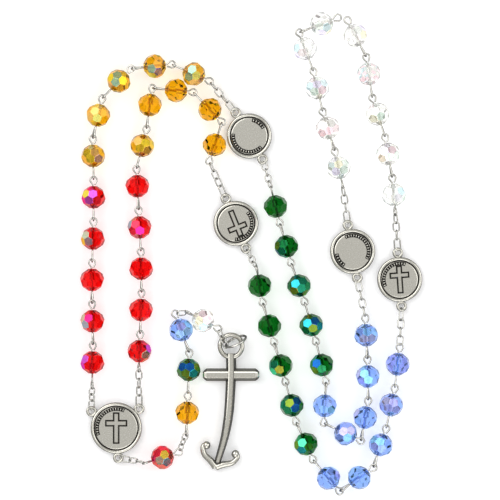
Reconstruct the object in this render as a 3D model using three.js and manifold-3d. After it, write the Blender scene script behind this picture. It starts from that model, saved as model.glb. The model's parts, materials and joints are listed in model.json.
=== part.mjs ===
// A rosary laid out flat on a table: a loop of five decades of faceted glass beads in four
// colours and clear, five round medals, and a pendant string that ends in an anchor cross.
// Each bead turns on an eye pin, and each pin's lying eye holds the next pin's upright eye.
// Units are millimetres. +Z is up, the table is z = 0, and +Y is the long way of the layout.
// A heading is the direction of a piece along the strand, in degrees from +X towards +Y.

import Module from 'manifold-3d';
import * as THREE from 'three';
import { mergeVertices } from 'three/addons/utils/BufferGeometryUtils.js';

const wasm = await Module();
wasm.setup();

// Beads and their pins.
const BEAD_RADIUS = 4;
const BEAD_SIDES = 8;
const BEAD_RINGS = 4;
const STRAND_HEIGHT = BEAD_RADIUS;
const PIN_WIRE = 0.3;
const EYE_RADIUS = 1.15;
const EYE_OFFSET = 5.85;
const PIN_SPAN = 14;
const HOOK_GAP = 0.3;
const FUSED_OVERLAP = 0.35;
const STEM_START = 3.8;
const STEM_SIDES = 3;
const STEM_TWIST = 20;
const RING_SIDES = 6;
const RING_WIRE_SIDES = 4;

// Chain links between beads and medals. The link in a medal's lug is a longer one.
const LINK_WIRE = 0.25;
const LINK_HALF_LENGTH = 1.6;
const LUG_LINK_HALF_LENGTH = 2.2;
const LINK_HALF_WIDTH = 1.15;
// A lying eye keeps the bead's heading where the next piece turns away by less than this.
const EYE_TURN_FROM = 14;

// Medals and their lugs.
const MEDAL_RADIUS = 7.65;
const CENTRE_MEDAL_RADIUS = 8.7;
const MEDAL_SIDES = 16;
const MEDAL_RIM_HEIGHT = 2.1;
const MEDAL_FIELD_HEIGHT = 1.6;
const MEDAL_RIM_WIDTH = 1.1;
const MEDAL_RIM_SLOPE = 0.3;
const LUG_RADIUS = 1.35;
const LUG_WIRE = 0.45;
const LUG_HEIGHT = 1.3;
const LUG_OFFSET = 1.45;
const EMBLEM_HEIGHT = 0.35;
const EMBLEM_BAR = 1.3;
const EMBLEM_ARMS = 0.75;
const EMBLEM_LENGTH = 1.12;
const EMBLEM_ARM_LEVEL = 0.19;

// The anchor cross, measured from the middle of its cast ring.
const CAST_RING_RADIUS = 3.8;
const CAST_RING_WIRE = 0.8;
const CAST_RING_HEIGHT = 2.3;
const LARGE_RING_SIDES = 12;
const CROSS_DEPTH = 3.6;
const CROSS_BEVEL = 0.8;
const ARM_BEVEL = 0.9;
const ARM_LEVEL = -9.8;
const ARM_HALF_LENGTH = 9.6;
const ARM_HALF_WIDTH = 2.15;
const SHAFT_LINE = [[0, -2.6], [0, -9.8], [-0.6, -21], [-1.5, -27.8], [-2.7, -33.1], [-4.6, -39]];
const SHAFT_HALF_WIDTHS = [1.7, 1.7, 1.65, 1.5, 1.3, 1.2];
const CROWN = [-5, -40.4];
const CROWN_HEADING = 73;
const FLUKE_LINE = [[0.9, -0.4], [0.7, 3.4], [2.2, 5.6], [4.6, 6]];
const FLUKE_HALF_WIDTHS = [1.1, 1, 0.85, 0.7];
const FLUKE_DEPTH = 2.8;
const FLUKE_BEVEL = 0.5;
const KNOB = [5.2, 5.2];
const KNOB_RADIUS = 1.35;
const KNOB_SIDES = 6;
const KNOB_RINGS = 4;

// The jump ring that leans in the cast ring.
const JUMP_RING_RADIUS = 3.7;
const JUMP_RING_WIRE = 0.4;
const JUMP_RING_HEADING = 25.6;
const JUMP_RING_LEAN = 72;
const JUMP_RING_TO_CAST_RING = [-1.65, -1.58];
const CROSS_PIVOT_FROM_CAST_RING = [2.9, 2.45];

// The layout: a group of beads gives one heading for each bead, and a medal gives its own heading
// with the number of chain links and the heading of the chain on each side of it. The right
// strand's last two headings are null, because they are worked out where the strands meet.
const CENTRE_MEDAL_PLACE = [-45.1, -61.2];
const STRANDS = {
  left: {
    lug: 146,
    chain: { links: 3, heading: 88 },
    groups: [
      { colour: 'red', headings: [89, 91, 90, 88, 90] },
      { colour: 'amber', headings: [91, 77, 46, 6, -24] },
      { medal: -60, chainIn: { links: 4, heading: -50 }, chainOut: { links: 3, heading: -74 } },
      { colour: 'green', headings: [-76, -74, -71, -74, -76] },
      { colour: 'blue', headings: [-93, -26, 80, 91, 93] },
      { medal: 100, chainIn: { links: 4, heading: 101 }, chainOut: { links: 4, heading: 98 } },
      { colour: 'clear', headings: [103, 107, 103, 110, 21] },
    ],
  },
  right: {
    lug: 40,
    chain: { links: 4, heading: 90 },
    groups: [
      { colour: 'red', headings: [88, 88, 91, 93, 93] },
      { colour: 'amber', headings: [76, 82, -6, -46, -108] },
      { medal: -68, chainIn: { links: 4, heading: -66 }, chainOut: { links: 2, heading: -62 } },
      { colour: 'green', headings: [-80, -74, -74, -75, -66] },
      { colour: 'blue', headings: [-50, 35, 72, 78, 83] },
      { medal: 94, chainIn: { links: 4, heading: 87 }, chainOut: { links: 4, heading: 94 } },
      { colour: 'clear', headings: [95, 100, 108, null, null] },
    ],
  },
};
const PENDANT_LUG = -86;
const PENDANT = {
  red: { heading: 18, before: { links: 3, heading: -9 }, after: { links: 2, heading: 68 } },
  amberGreen: { heading: 88 },
  blue: { heading: 110 },
  clear: { heading: -28, before: { links: 1, heading: 6 }, after: { links: 2, heading: -66 } },
};
const CLOSING_GAP = 3.4;
const CLOSING_HEADING = -14;
const MEDALS_WITH_EMBLEM = ['centre_medal', 'right_medal_1', 'right_medal_2'];

const HINGE_LIMIT = 60;
const CROSS_LIMITS = [-6, 25];
// The sense of each hinge along a strand, so that the strand folds and doesn't roll up.
const HINGE_SENSES = {
  left: [1, -1, -1, 1],
  right: [-1, -1, 1, 1],
  pendant: [1, -1, -1, 1],
};

const COLOURS = {
  red: { colour: 0xc8101c, roughness: 0.15, metalness: 0 },
  amber: { colour: 0xd08410, roughness: 0.15, metalness: 0 },
  green: { colour: 0x0b7a32, roughness: 0.15, metalness: 0 },
  blue: { colour: 0x7d9bf0, roughness: 0.15, metalness: 0 },
  clear: { colour: 0xe6eef2, roughness: 0.1, metalness: 0 },
  silver: { colour: 0xa9a597, roughness: 0.35, metalness: 1 },
};

const { degToRad, radToDeg } = THREE.MathUtils;

function headingVector(heading) {
  return new THREE.Vector3(Math.cos(degToRad(heading)), Math.sin(degToRad(heading)), 0);
}

function step(point, heading, distance) {
  return point.clone().addScaledVector(headingVector(heading), distance);
}

// ---- solids ----

function toSolid(geometry) {
  const bare = geometry.clone();
  bare.deleteAttribute('normal');
  bare.deleteAttribute('uv');
  const merged = mergeVertices(bare, 1e-4);
  return new wasm.Manifold(new wasm.Mesh({
    numProp: 3,
    vertProperties: new Float32Array(merged.attributes.position.array),
    triVerts: new Uint32Array(merged.index.array),
  }));
}

function join(geometries) {
  const solid = geometries.map(toSolid).reduce((sum, next) => sum.add(next));
  const mesh = solid.getMesh();
  const geometry = new THREE.BufferGeometry();
  const positions = new Float32Array(mesh.vertProperties);
  geometry.setAttribute('position', new THREE.BufferAttribute(positions, 3));
  geometry.setIndex(new THREE.BufferAttribute(new Uint32Array(mesh.triVerts), 1));
  geometry.computeVertexNormals();
  return geometry;
}

// A ring of straight wire stretches around an oval, lying flat, with a flat end at each end of X.
function ovalRing(halfLength, halfWidth, wire, sides = RING_SIDES) {
  const ring = new THREE.TorusGeometry(1, wire, RING_WIRE_SIDES, sides);
  ring.rotateZ(Math.PI / sides);
  const stretch = halfLength / Math.cos(Math.PI / sides);
  const position = ring.attributes.position;
  for (let i = 0; i < position.count; i += 1) {
    const angle = Math.atan2(position.getY(i), position.getX(i));
    const outward = Math.hypot(position.getX(i), position.getY(i)) - 1;
    position.setX(i, (stretch + outward) * Math.cos(angle));
    position.setY(i, (halfWidth + outward) * Math.sin(angle));
  }
  return ring;
}

// Roll turns a ring about its length, pitch tips its far end up, and yaw turns it to a heading.
function place(geometry, centre, { roll = 0, pitch = 0, yaw = 0 } = {}) {
  geometry.rotateX(degToRad(roll));
  geometry.rotateY(-degToRad(pitch));
  geometry.rotateZ(degToRad(yaw));
  geometry.translate(centre.x, centre.y, centre.z);
  return geometry;
}

function rod(from, to, radius) {
  const along = to.clone().sub(from);
  const geometry = new THREE.CylinderGeometry(radius, radius, along.length(), STEM_SIDES);
  geometry.rotateY(degToRad(STEM_TWIST));
  const turn = new THREE.Quaternion().setFromUnitVectors(new THREE.Vector3(0, 1, 0),
    along.clone().normalize());
  geometry.applyQuaternion(turn);
  const middle = from.clone().add(to).multiplyScalar(0.5);
  geometry.translate(middle.x, middle.y, middle.z);
  return geometry;
}

// A flat bar that follows a line of points, with its own half width at each point.
function strokeShape(line, halfWidths) {
  const points = line.map(([x, y]) => new THREE.Vector2(x, y));
  const sides = [-1, 1].map((side) => points.map((point, i) => {
    const before = points[Math.max(i - 1, 0)];
    const after = points[Math.min(i + 1, points.length - 1)];
    const along = after.clone().sub(before).normalize();
    const across = new THREE.Vector2(-along.y, along.x).multiplyScalar(side * halfWidths[i]);
    return point.clone().add(across);
  }));
  return new THREE.Shape([...sides[0], ...sides[1].reverse()]);
}

function bevelledPlate(shape, depth, bevel) {
  const geometry = new THREE.ExtrudeGeometry(shape, {
    depth: depth - 2 * bevel,
    bevelSize: bevel,
    bevelOffset: -bevel,
    bevelThickness: bevel,
    bevelSegments: 1,
    curveSegments: 4,
  });
  geometry.translate(0, 0, bevel);
  return geometry;
}

// ---- beads with their pins and chains, in the bead's own frame: +X is its heading ----

function bead() {
  return new THREE.SphereGeometry(BEAD_RADIUS, BEAD_SIDES, BEAD_RINGS).rotateZ(-Math.PI / 2);
}

// An eye at the end of a pin. Side is 1 after the bead and -1 before it.
function pinEye(side, offset, { roll = 0, pitch = 0, yaw = 0 } = {}) {
  const centre = new THREE.Vector3(side * offset, 0, 0);
  const ring = ovalRing(EYE_RADIUS, EYE_RADIUS, PIN_WIRE);
  const outward = headingVector(yaw).multiplyScalar(side * Math.cos(degToRad(pitch)));
  outward.z = side * Math.sin(degToRad(pitch));
  const nearWire = centre.clone().addScaledVector(outward, -EYE_RADIUS);
  const start = new THREE.Vector3(side * STEM_START, 0, 0);
  return [place(ring, centre, { roll, pitch, yaw }), rod(start, nearWire, PIN_WIRE)];
}

const UPRIGHT_EYE_OFFSET = PIN_SPAN - EYE_OFFSET - 2 * EYE_RADIUS + 2 * PIN_WIRE + HOOK_GAP;
const PAIR_SPACING = EYE_OFFSET + UPRIGHT_EYE_OFFSET + 2 * EYE_RADIUS - FUSED_OVERLAP;

// The half length of each link of a chain, from the bead outwards.
function linkHalfLengths({ links, longEnd }) {
  const halves = new Array(links).fill(LINK_HALF_LENGTH);
  if (longEnd) {
    halves[links - 1] = LUG_LINK_HALF_LENGTH;
  }
  return halves;
}

// How far a chain runs, along its slope, from the middle of the pin's eye to the far wire of its
// last link, and to the wire that this link is hooked round.
function chainLength(spec) {
  const loops = linkHalfLengths(spec).reduce((sum, half) => sum + 2 * half - FUSED_OVERLAP, 0);
  return EYE_RADIUS + loops;
}

function chainReach(spec, heldWire) {
  return chainLength(spec) - LINK_WIRE - heldWire - HOOK_GAP;
}

// The slope of a chain that comes down from the strand to a medal's lug, in degrees.
function lugSlope(spec) {
  return radToDeg(Math.asin((STRAND_HEIGHT - LUG_HEIGHT) / chainReach(spec, LUG_WIRE)));
}

// A chain on one side of the bead, with its pin's eye. Turn is the chain's heading from the
// bead's, and the last link is upright or lying, which sets the links before it by turns.
function chain(side, spec, { turn, slope, lastUpright }) {
  const pitch = -side * slope;
  const direction = headingVector(turn).multiplyScalar(side * Math.cos(degToRad(slope)));
  direction.z = -Math.sin(degToRad(slope));
  const isUpright = (index) => ((spec.links - 1 - index) % 2 === 0) === lastUpright;
  const eyeRoll = isUpright(-1) ? 90 : 0;
  const pieces = pinEye(side, EYE_OFFSET, { roll: eyeRoll, pitch, yaw: turn });
  const eye = new THREE.Vector3(side * EYE_OFFSET, 0, 0);
  let distance = EYE_RADIUS;
  linkHalfLengths(spec).forEach((half, i) => {
    distance += half - FUSED_OVERLAP;
    const centre = eye.clone().addScaledVector(direction, distance);
    const ring = ovalRing(half, LINK_HALF_WIDTH, LINK_WIRE);
    pieces.push(place(ring, centre, { roll: isUpright(i) ? 90 : 0, pitch, yaw: turn }));
    distance += half;
  });
  return pieces;
}

function sidePieces(side, unit, end) {
  if (end.links) {
    const slope = end.toLug ? lugSlope(end) : 0;
    const lastUpright = side < 0 || end.toLug === true;
    return chain(side, end, { turn: end.heading - unit.heading, slope, lastUpright });
  }
  if (end.upright) {
    return pinEye(side, side < 0 ? UPRIGHT_EYE_OFFSET : EYE_OFFSET, { roll: 90 });
  }
  const turn = end.heading - unit.heading;
  return pinEye(side, EYE_OFFSET, { yaw: Math.abs(turn) < EYE_TURN_FROM ? 0 : turn });
}

function beadUnitGeometry(unit) {
  return join([bead(), ...sidePieces(-1, unit, unit.before), ...sidePieces(1, unit, unit.after)]);
}

// Two beads on one heading whose middle eyes are joined, with the frame on the first bead.
function pairGeometry(unit) {
  const upright = sidePieces(-1, unit, { upright: true });
  const first = [bead(), ...upright, ...pinEye(1, EYE_OFFSET)];
  const second = [bead(), ...upright.map((geometry) => geometry.clone())];
  second.push(...sidePieces(1, unit, unit.after));
  second.forEach((geometry) => geometry.translate(PAIR_SPACING, 0, 0));
  return join([...first, ...second]);
}

// ---- medals and the anchor cross ----

// A raised Latin cross on a medal's field, with its head towards +X.
function latinCross(radius) {
  const upright = new THREE.BoxGeometry(radius * EMBLEM_LENGTH, EMBLEM_BAR, 2 * EMBLEM_HEIGHT);
  const arms = new THREE.BoxGeometry(EMBLEM_BAR, radius * EMBLEM_ARMS, 2 * EMBLEM_HEIGHT);
  upright.translate(0, 0, MEDAL_FIELD_HEIGHT);
  arms.translate(radius * EMBLEM_ARM_LEVEL, 0, MEDAL_FIELD_HEIGHT);
  return [upright, arms];
}

// A medal with one lug at each of the given headings around it, and its back on the table.
function medalGeometry(radius, lugHeadings, emblemHeading) {
  const inner = radius - MEDAL_RIM_WIDTH;
  const profile = [[0, 0], [radius, 0], [radius, MEDAL_RIM_HEIGHT], [inner, MEDAL_RIM_HEIGHT],
    [inner - MEDAL_RIM_SLOPE, MEDAL_FIELD_HEIGHT], [0, MEDAL_FIELD_HEIGHT]];
  const disc = new THREE.LatheGeometry(profile.map(([x, y]) => new THREE.Vector2(x, y)), MEDAL_SIDES);
  disc.rotateX(Math.PI / 2);
  const pieces = [disc];
  for (const heading of lugHeadings) {
    const centre = headingVector(heading).multiplyScalar(radius + LUG_OFFSET);
    centre.z = LUG_HEIGHT;
    pieces.push(place(ovalRing(LUG_RADIUS, LUG_RADIUS, LUG_WIRE), centre, { yaw: heading }));
  }
  if (emblemHeading !== null) {
    const emblem = latinCross(radius);
    emblem.forEach((bar) => bar.rotateZ(degToRad(emblemHeading)));
    pieces.push(...emblem);
  }
  return join(pieces);
}

function flukePieces(side) {
  const line = FLUKE_LINE.map(([x, y]) => [x, side * y]);
  const bar = bevelledPlate(strokeShape(line, FLUKE_HALF_WIDTHS), FLUKE_DEPTH, FLUKE_BEVEL);
  const knob = new THREE.SphereGeometry(KNOB_RADIUS, KNOB_SIDES, KNOB_RINGS);
  knob.rotateX(Math.PI / 2);
  knob.translate(KNOB[0], side * KNOB[1], FLUKE_DEPTH / 2);
  return [bar, knob];
}

function anchorCrossGeometry() {
  const ring = ovalRing(CAST_RING_RADIUS, CAST_RING_RADIUS, CAST_RING_WIRE, LARGE_RING_SIDES);
  ring.translate(0, 0, CAST_RING_HEIGHT);
  const shaft = bevelledPlate(strokeShape(SHAFT_LINE, SHAFT_HALF_WIDTHS), CROSS_DEPTH, CROSS_BEVEL);
  const armLine = [[-ARM_HALF_LENGTH, ARM_LEVEL], [ARM_HALF_LENGTH, ARM_LEVEL]];
  const armShape = strokeShape(armLine, [ARM_HALF_WIDTH, ARM_HALF_WIDTH]);
  const arms = bevelledPlate(armShape, CROSS_DEPTH, ARM_BEVEL);
  const flukes = [-1, 1].flatMap(flukePieces);
  flukes.forEach((geometry) => {
    geometry.rotateZ(degToRad(CROWN_HEADING));
    geometry.translate(CROWN[0], CROWN[1], 0);
  });
  return join([ring, shaft, arms, ...flukes]);
}

function jumpRing(centre) {
  const ring = ovalRing(JUMP_RING_RADIUS, JUMP_RING_RADIUS, JUMP_RING_WIRE, LARGE_RING_SIDES);
  return place(ring, centre, { roll: -JUMP_RING_LEAN, yaw: JUMP_RING_HEADING });
}

// ---- the tree of pieces ----

const rosary = new THREE.Group();
rosary.name = 'rosary';

function material(name) {
  const { colour, roughness, metalness } = COLOURS[name];
  return new THREE.MeshStandardMaterial({ color: colour, roughness, metalness });
}

// Each piece but the first hangs from its parent by a hinge: a point, and an axis that lies
// level and across the strand, so that a positive angle lifts or lowers the piece by turns.
function addPiece(name, geometry, colour, position, heading, hinge) {
  const mesh = new THREE.Mesh(geometry, material(colour));
  mesh.name = name;
  mesh.position.copy(position);
  mesh.rotation.z = degToRad(heading);
  mesh.userData = { slot: colour, heading, hinge };
  rosary.add(mesh);
  return mesh;
}

function hingeAt(parent, pivot, height, heading, sign, limits = [-HINGE_LIMIT, HINGE_LIMIT]) {
  const axis = headingVector(heading - 90).multiplyScalar(sign);
  return { parent, pivot: [pivot.x, pivot.y, height], axis: axis.toArray(), limits };
}

// A hold is what the next piece hangs from: the parent's name, the middle of its eye, link end or
// lug, the radius of that, and the height and thickness of its wire.
function holdOnEye(parent, point, radius = EYE_RADIUS) {
  return { parent, point, radius, wire: PIN_WIRE, height: STRAND_HEIGHT, toLug: false };
}

function holdOnLug(parent, centre, medalRadius, heading) {
  const point = step(centre, heading, medalRadius + LUG_OFFSET);
  return { parent, point, radius: LUG_RADIUS, wire: LUG_WIRE, height: LUG_HEIGHT, toLug: true };
}

// The distance on plan from a hold's pivot, along a chain, to the middle of the pin's eye.
function eyeFromPivot(hold, chainSpec) {
  const slope = hold.toLug ? lugSlope(chainSpec) : 0;
  return chainReach(chainSpec, hold.wire) * Math.cos(degToRad(slope));
}

function addBead(name, colour, unit, hold, sign) {
  const firstHeading = unit.before.links ? unit.before.heading : unit.heading;
  const pivot = step(hold.point, firstHeading, hold.radius);
  let centre = step(pivot, unit.heading, PIN_SPAN - EYE_OFFSET - EYE_RADIUS);
  if (unit.before.links) {
    const eye = step(pivot, firstHeading, eyeFromPivot(hold, unit.before));
    centre = step(eye, unit.heading, EYE_OFFSET);
  }
  const hinge = hingeAt(hold.parent, pivot, hold.height, firstHeading, sign);
  const held = { ...unit, before: { ...unit.before, toLug: hold.toLug } };
  const geometry = unit.pair ? pairGeometry(held) : beadUnitGeometry(held);
  centre.z = STRAND_HEIGHT;
  addPiece(name, geometry, colour, centre, unit.heading, hinge);
  return step(centre, unit.heading, EYE_OFFSET + (unit.pair ? PAIR_SPACING : 0));
}

function addMedal(name, radius, heading, eye, chainSpec, parent, sign) {
  const slope = lugSlope(chainSpec);
  const reach = chainReach(chainSpec, LUG_WIRE) * Math.cos(degToRad(slope));
  const pivot = step(eye, chainSpec.heading, reach);
  const lug = step(pivot, chainSpec.heading, LUG_RADIUS);
  const centre = step(lug, heading, radius + LUG_OFFSET);
  centre.z = 0;
  const hinge = hingeAt(parent, pivot, LUG_HEIGHT, chainSpec.heading, sign);
  const emblem = MEDALS_WITH_EMBLEM.includes(name) ? 0 : null;
  const geometry = medalGeometry(radius, [0, 180], emblem);
  addPiece(name, geometry, 'silver', centre, heading, hinge);
  return holdOnLug(name, centre, radius, heading);
}

// Headings of two equal spans from one point that meet another point, bending to the left.
function closingHeadings(from, to) {
  const along = to.clone().sub(from);
  const middle = radToDeg(Math.atan2(along.y, along.x));
  const bend = radToDeg(Math.acos(Math.hypot(along.x, along.y) / (2 * PIN_SPAN)));
  return [middle - bend, middle + bend];
}

function listUnits(strandName, strand) {
  const units = [];
  let chainBefore = strand.chain;
  strand.groups.forEach((group, groupIndex) => {
    if (group.medal !== undefined) {
      units.push({ ...group, chainIn: { ...group.chainIn, longEnd: true }, isMedal: true });
      chainBefore = group.chainOut;
      return;
    }
    const nextMedal = strand.groups[groupIndex + 1]?.chainIn;
    group.headings.forEach((heading, i) => {
      const before = chainBefore ? { ...chainBefore, longEnd: true } : { upright: true };
      const isLast = i === group.headings.length - 1;
      const after = isLast && nextMedal ? { ...nextMedal, toLug: true, longEnd: true } : {};
      const name = `${strandName}_${group.colour}_bead_${i + 1}`;
      units.push({ name, colour: group.colour, heading, before: { ...before }, after });
      chainBefore = null;
    });
  });
  return units;
}

// Where a strand has a point to meet, its last two headings are worked out from that point.
function addStrand(strandName, strand, startHold, meetingPoint) {
  const units = listUnits(strandName, strand);
  let hold = startHold;
  let eye = null;
  let medalNumber = 0;
  units.forEach((unit, i) => {
    const sign = HINGE_SENSES[strandName][i % HINGE_SENSES[strandName].length];
    if (unit.isMedal) {
      medalNumber += 1;
      const name = `${strandName}_medal_${medalNumber}`;
      hold = addMedal(name, MEDAL_RADIUS, unit.medal, eye, unit.chainIn, hold.parent, sign);
      return;
    }
    if (meetingPoint && i === units.length - 2) {
      [unit.heading, units[i + 1].heading] = closingHeadings(hold.point, meetingPoint);
    }
    const next = units[i + 1];
    if (!unit.after.links) {
      unit.after = next ? { heading: next.heading } : { heading: unit.heading };
    }
    if (meetingPoint && !next) {
      unit.after = { upright: true };
    }
    eye = addBead(unit.name, unit.colour, unit, hold, sign);
    hold = holdOnEye(unit.name, eye);
  });
  return eye;
}

// The pendant: a red bead, an amber and a green one in a pair, a blue one, a clear one, the cross.
function addPendant(startHold) {
  const { red, amberGreen, blue, clear } = PENDANT;
  const [redSense, pairSense, blueSense, clearSense] = HINGE_SENSES.pendant;
  const redEye = addBead('pendant_red_bead', 'red', red, startHold, redSense);
  const redEnd = step(redEye, red.after.heading, chainLength(red.after));
  const redHold = { ...holdOnEye('pendant_red_bead', redEnd, 0), wire: LINK_WIRE };
  const pairUnit = { ...amberGreen, pair: true, before: { upright: true }, after: blue };
  const pairName = 'pendant_amber_green_beads';
  const pairEye = addBead(pairName, 'amber', pairUnit, redHold, pairSense);
  const blueAfter = { heading: clear.before.heading };
  const blueUnit = { ...blue, before: { upright: true }, after: blueAfter };
  const blueHold = holdOnEye(pairName, pairEye);
  const blueEye = addBead('pendant_blue_bead', 'blue', blueUnit, blueHold, blueSense);
  const clearName = 'pendant_clear_bead';
  const clearHold = holdOnEye('pendant_blue_bead', blueEye);
  const clearEye = addBead(clearName, 'clear', clear, clearHold, clearSense);
  const linkEnd = step(clearEye, clear.after.heading, chainLength(clear.after) - FUSED_OVERLAP);
  const ringCentre = step(linkEnd, JUMP_RING_HEADING, JUMP_RING_RADIUS);
  addJumpRing(rosary.getObjectByName(clearName), ringCentre);
  addCross(clearName, ringCentre);
}

// The jump ring is joined to the chain of the last bead, in that bead's own frame.
function addJumpRing(mesh, centre) {
  const ring = jumpRing(new THREE.Vector3(centre.x, centre.y, STRAND_HEIGHT));
  mesh.updateMatrixWorld();
  ring.applyMatrix4(mesh.matrixWorld.clone().invert());
  mesh.geometry = join([mesh.geometry, ring]);
}

function addCross(parent, ringCentre) {
  const [dx, dy] = JUMP_RING_TO_CAST_RING;
  const castRing = new THREE.Vector3(ringCentre.x + dx, ringCentre.y + dy, 0);
  const [px, py] = CROSS_PIVOT_FROM_CAST_RING;
  const pivot = new THREE.Vector3(castRing.x + px, castRing.y + py, 0);
  const hinge = hingeAt(parent, pivot, CAST_RING_HEIGHT, -90, 1, CROSS_LIMITS);
  addPiece('anchor_cross', anchorCrossGeometry(), 'silver', castRing, 0, hinge);
}

// The footprint's middle is moved to the origin, and the hinges move with it.
function centreOnOrigin() {
  const middle = new THREE.Box3().setFromObject(rosary, true).getCenter(new THREE.Vector3());
  for (const mesh of rosary.children) {
    mesh.position.x -= middle.x;
    mesh.position.y -= middle.y;
    if (mesh.userData.hinge) {
      mesh.userData.hinge.pivot[0] -= middle.x;
      mesh.userData.hinge.pivot[1] -= middle.y;
    }
  }
}

const centreMedal = new THREE.Vector3(...CENTRE_MEDAL_PLACE, 0);
const lugHeadings = [STRANDS.left.lug, STRANDS.right.lug, PENDANT_LUG];
addPiece('centre_medal', medalGeometry(CENTRE_MEDAL_RADIUS, lugHeadings, 90), 'silver', centreMedal,
  0, null);
const lugHold = (heading) => holdOnLug('centre_medal', centreMedal, CENTRE_MEDAL_RADIUS, heading);
const leftEnd = addStrand('left', STRANDS.left, lugHold(STRANDS.left.lug));
const meetingPoint = step(leftEnd, CLOSING_HEADING, CLOSING_GAP);
addStrand('right', STRANDS.right, lugHold(STRANDS.right.lug), meetingPoint);
addPendant(lugHold(PENDANT_LUG));
centreOnOrigin();

export default rosary;
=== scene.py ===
import json
import math
import random

import bmesh
import bpy
from mathutils import Matrix, Vector

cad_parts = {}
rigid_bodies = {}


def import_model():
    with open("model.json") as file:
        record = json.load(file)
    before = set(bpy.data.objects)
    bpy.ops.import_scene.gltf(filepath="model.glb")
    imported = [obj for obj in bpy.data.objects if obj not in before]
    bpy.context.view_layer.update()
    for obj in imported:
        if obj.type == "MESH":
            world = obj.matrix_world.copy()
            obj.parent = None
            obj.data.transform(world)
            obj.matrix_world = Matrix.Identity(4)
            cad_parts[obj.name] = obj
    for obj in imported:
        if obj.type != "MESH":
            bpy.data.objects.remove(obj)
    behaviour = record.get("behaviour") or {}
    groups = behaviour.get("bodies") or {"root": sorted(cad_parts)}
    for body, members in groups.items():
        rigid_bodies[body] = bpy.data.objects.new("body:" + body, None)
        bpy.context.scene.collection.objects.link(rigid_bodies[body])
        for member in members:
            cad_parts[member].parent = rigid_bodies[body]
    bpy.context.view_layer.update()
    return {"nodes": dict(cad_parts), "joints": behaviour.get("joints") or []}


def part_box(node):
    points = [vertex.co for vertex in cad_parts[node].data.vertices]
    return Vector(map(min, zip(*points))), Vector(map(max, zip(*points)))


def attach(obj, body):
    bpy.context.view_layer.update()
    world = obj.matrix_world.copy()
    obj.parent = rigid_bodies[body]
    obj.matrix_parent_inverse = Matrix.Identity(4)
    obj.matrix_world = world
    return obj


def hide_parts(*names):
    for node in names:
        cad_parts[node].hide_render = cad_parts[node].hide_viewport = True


# A rosary laid flat. Shapes are made in millimetres and turned into metres as they become meshes.
# Every place comes from the frame: a joint's point and axis, or a node's highest points.

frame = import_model()

MM = 0.001
UP = Vector((0, 0, 1))

# The driving sizes of the CAD model.
STRAND_HEIGHT = 4.0
EYE_RADIUS = 1.15
EYE_OFFSET = 5.85
HOOKED_EYE_OFFSET = 6.75
PIN_WIRE = 0.3
LINK_WIRE = 0.25
LINK_HALF_WIDTH = 1.02
LUG_LINK_SHARE = 1.3
LUG_RADIUS = 1.35
LUG_WIRE = 0.48
LUG_HEIGHT = 1.3
LUG_OFFSET = 1.45
JUMP_RING_RADIUS = 3.7
JUMP_RING_WIRE = 0.4
JUMP_RING_HEADING = 25.6
JUMP_RING_LEAN = 72
JUMP_RING_FROM_PIVOT = (-1.25, -0.87)
CAST_RING_FROM_PIVOT = (-2.9, -2.45)

# A crystal bead: four staggered rings of facets round the hole, and a flat at each mouth.
BEAD_CORNER_RADIUS = 4.14
FACETS_ROUND = 8
FACET_LATITUDES = (54, 18.5, -18.5, -54)
# How far from the middle the mouths are cut, where the facets are cut at 1.
MOUTH_DISTANCE = 1.0044
MOUTH_SINK = 0.05
HOLE_RADIUS = 0.55
FACET_EDGE = 0.05
# Edges that turn by more than this angle, in radians, are bevelled.
SHARP_EDGE = 0.3

# Which way each bead's coated side faces, in degrees round its hole: 0 is up, 90 is the left of
# the strand and -90 the right. A plain bead shows no coat.
PLAIN = None
COAT_TURNS = {
    "left_red": (80, 70, PLAIN, 65, 30),
    "left_amber": (0, 30, 10, -50, -20),
    "left_green": (PLAIN, -70, 0, 0, -60),
    "left_blue": (50, 0, 100, 40, 0),
    "left_clear": (0, 0, 0, 80, -60),
    "right_red": (-70, PLAIN, PLAIN, 40, PLAIN),
    "right_amber": (-10, PLAIN, PLAIN, PLAIN, PLAIN),
    "right_green": (PLAIN, PLAIN, -65, 0, -50),
    "right_blue": (70, 120, 30, 10, 150),
    "right_clear": (-75, 0, 30, 150, -80),
}
PENDANT_COAT_TURNS = {"red": 0, "amber": PLAIN, "green": 0, "blue": -40, "clear": 0}

BODY_COLOURS = {
    "red": (0.80, 0.006, 0.006),
    "amber": (0.80, 0.43, 0.006),
    "green": (0.002, 0.16, 0.012),
    "blue": (0.33, 0.50, 0.95),
    "clear": (0.93, 0.93, 0.905),
}
# How strongly each colour's coat hides the glass under it, and how it varies over a facet.
COAT_STRENGTHS = {"red": 1.0, "amber": 0.95, "green": 1.0, "blue": 0.65, "clear": 0.5}
COAT_VARIATION = (0.75, 1.0)
# A facet has some coat where its direction agrees with the coated side's by more than COAT_FROM,
# and the full coat from COAT_FROM + COAT_RISE on. The walls of the hole, nearer than WALL_DISTANCE
# to the middle, have none.
COAT_FROM = 0.42
COAT_RISE = 0.3
WALL_DISTANCE = 2
# How much of the light goes straight through, where the glass is a little milky.
CLARITIES = {"clear": 0.9}
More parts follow.
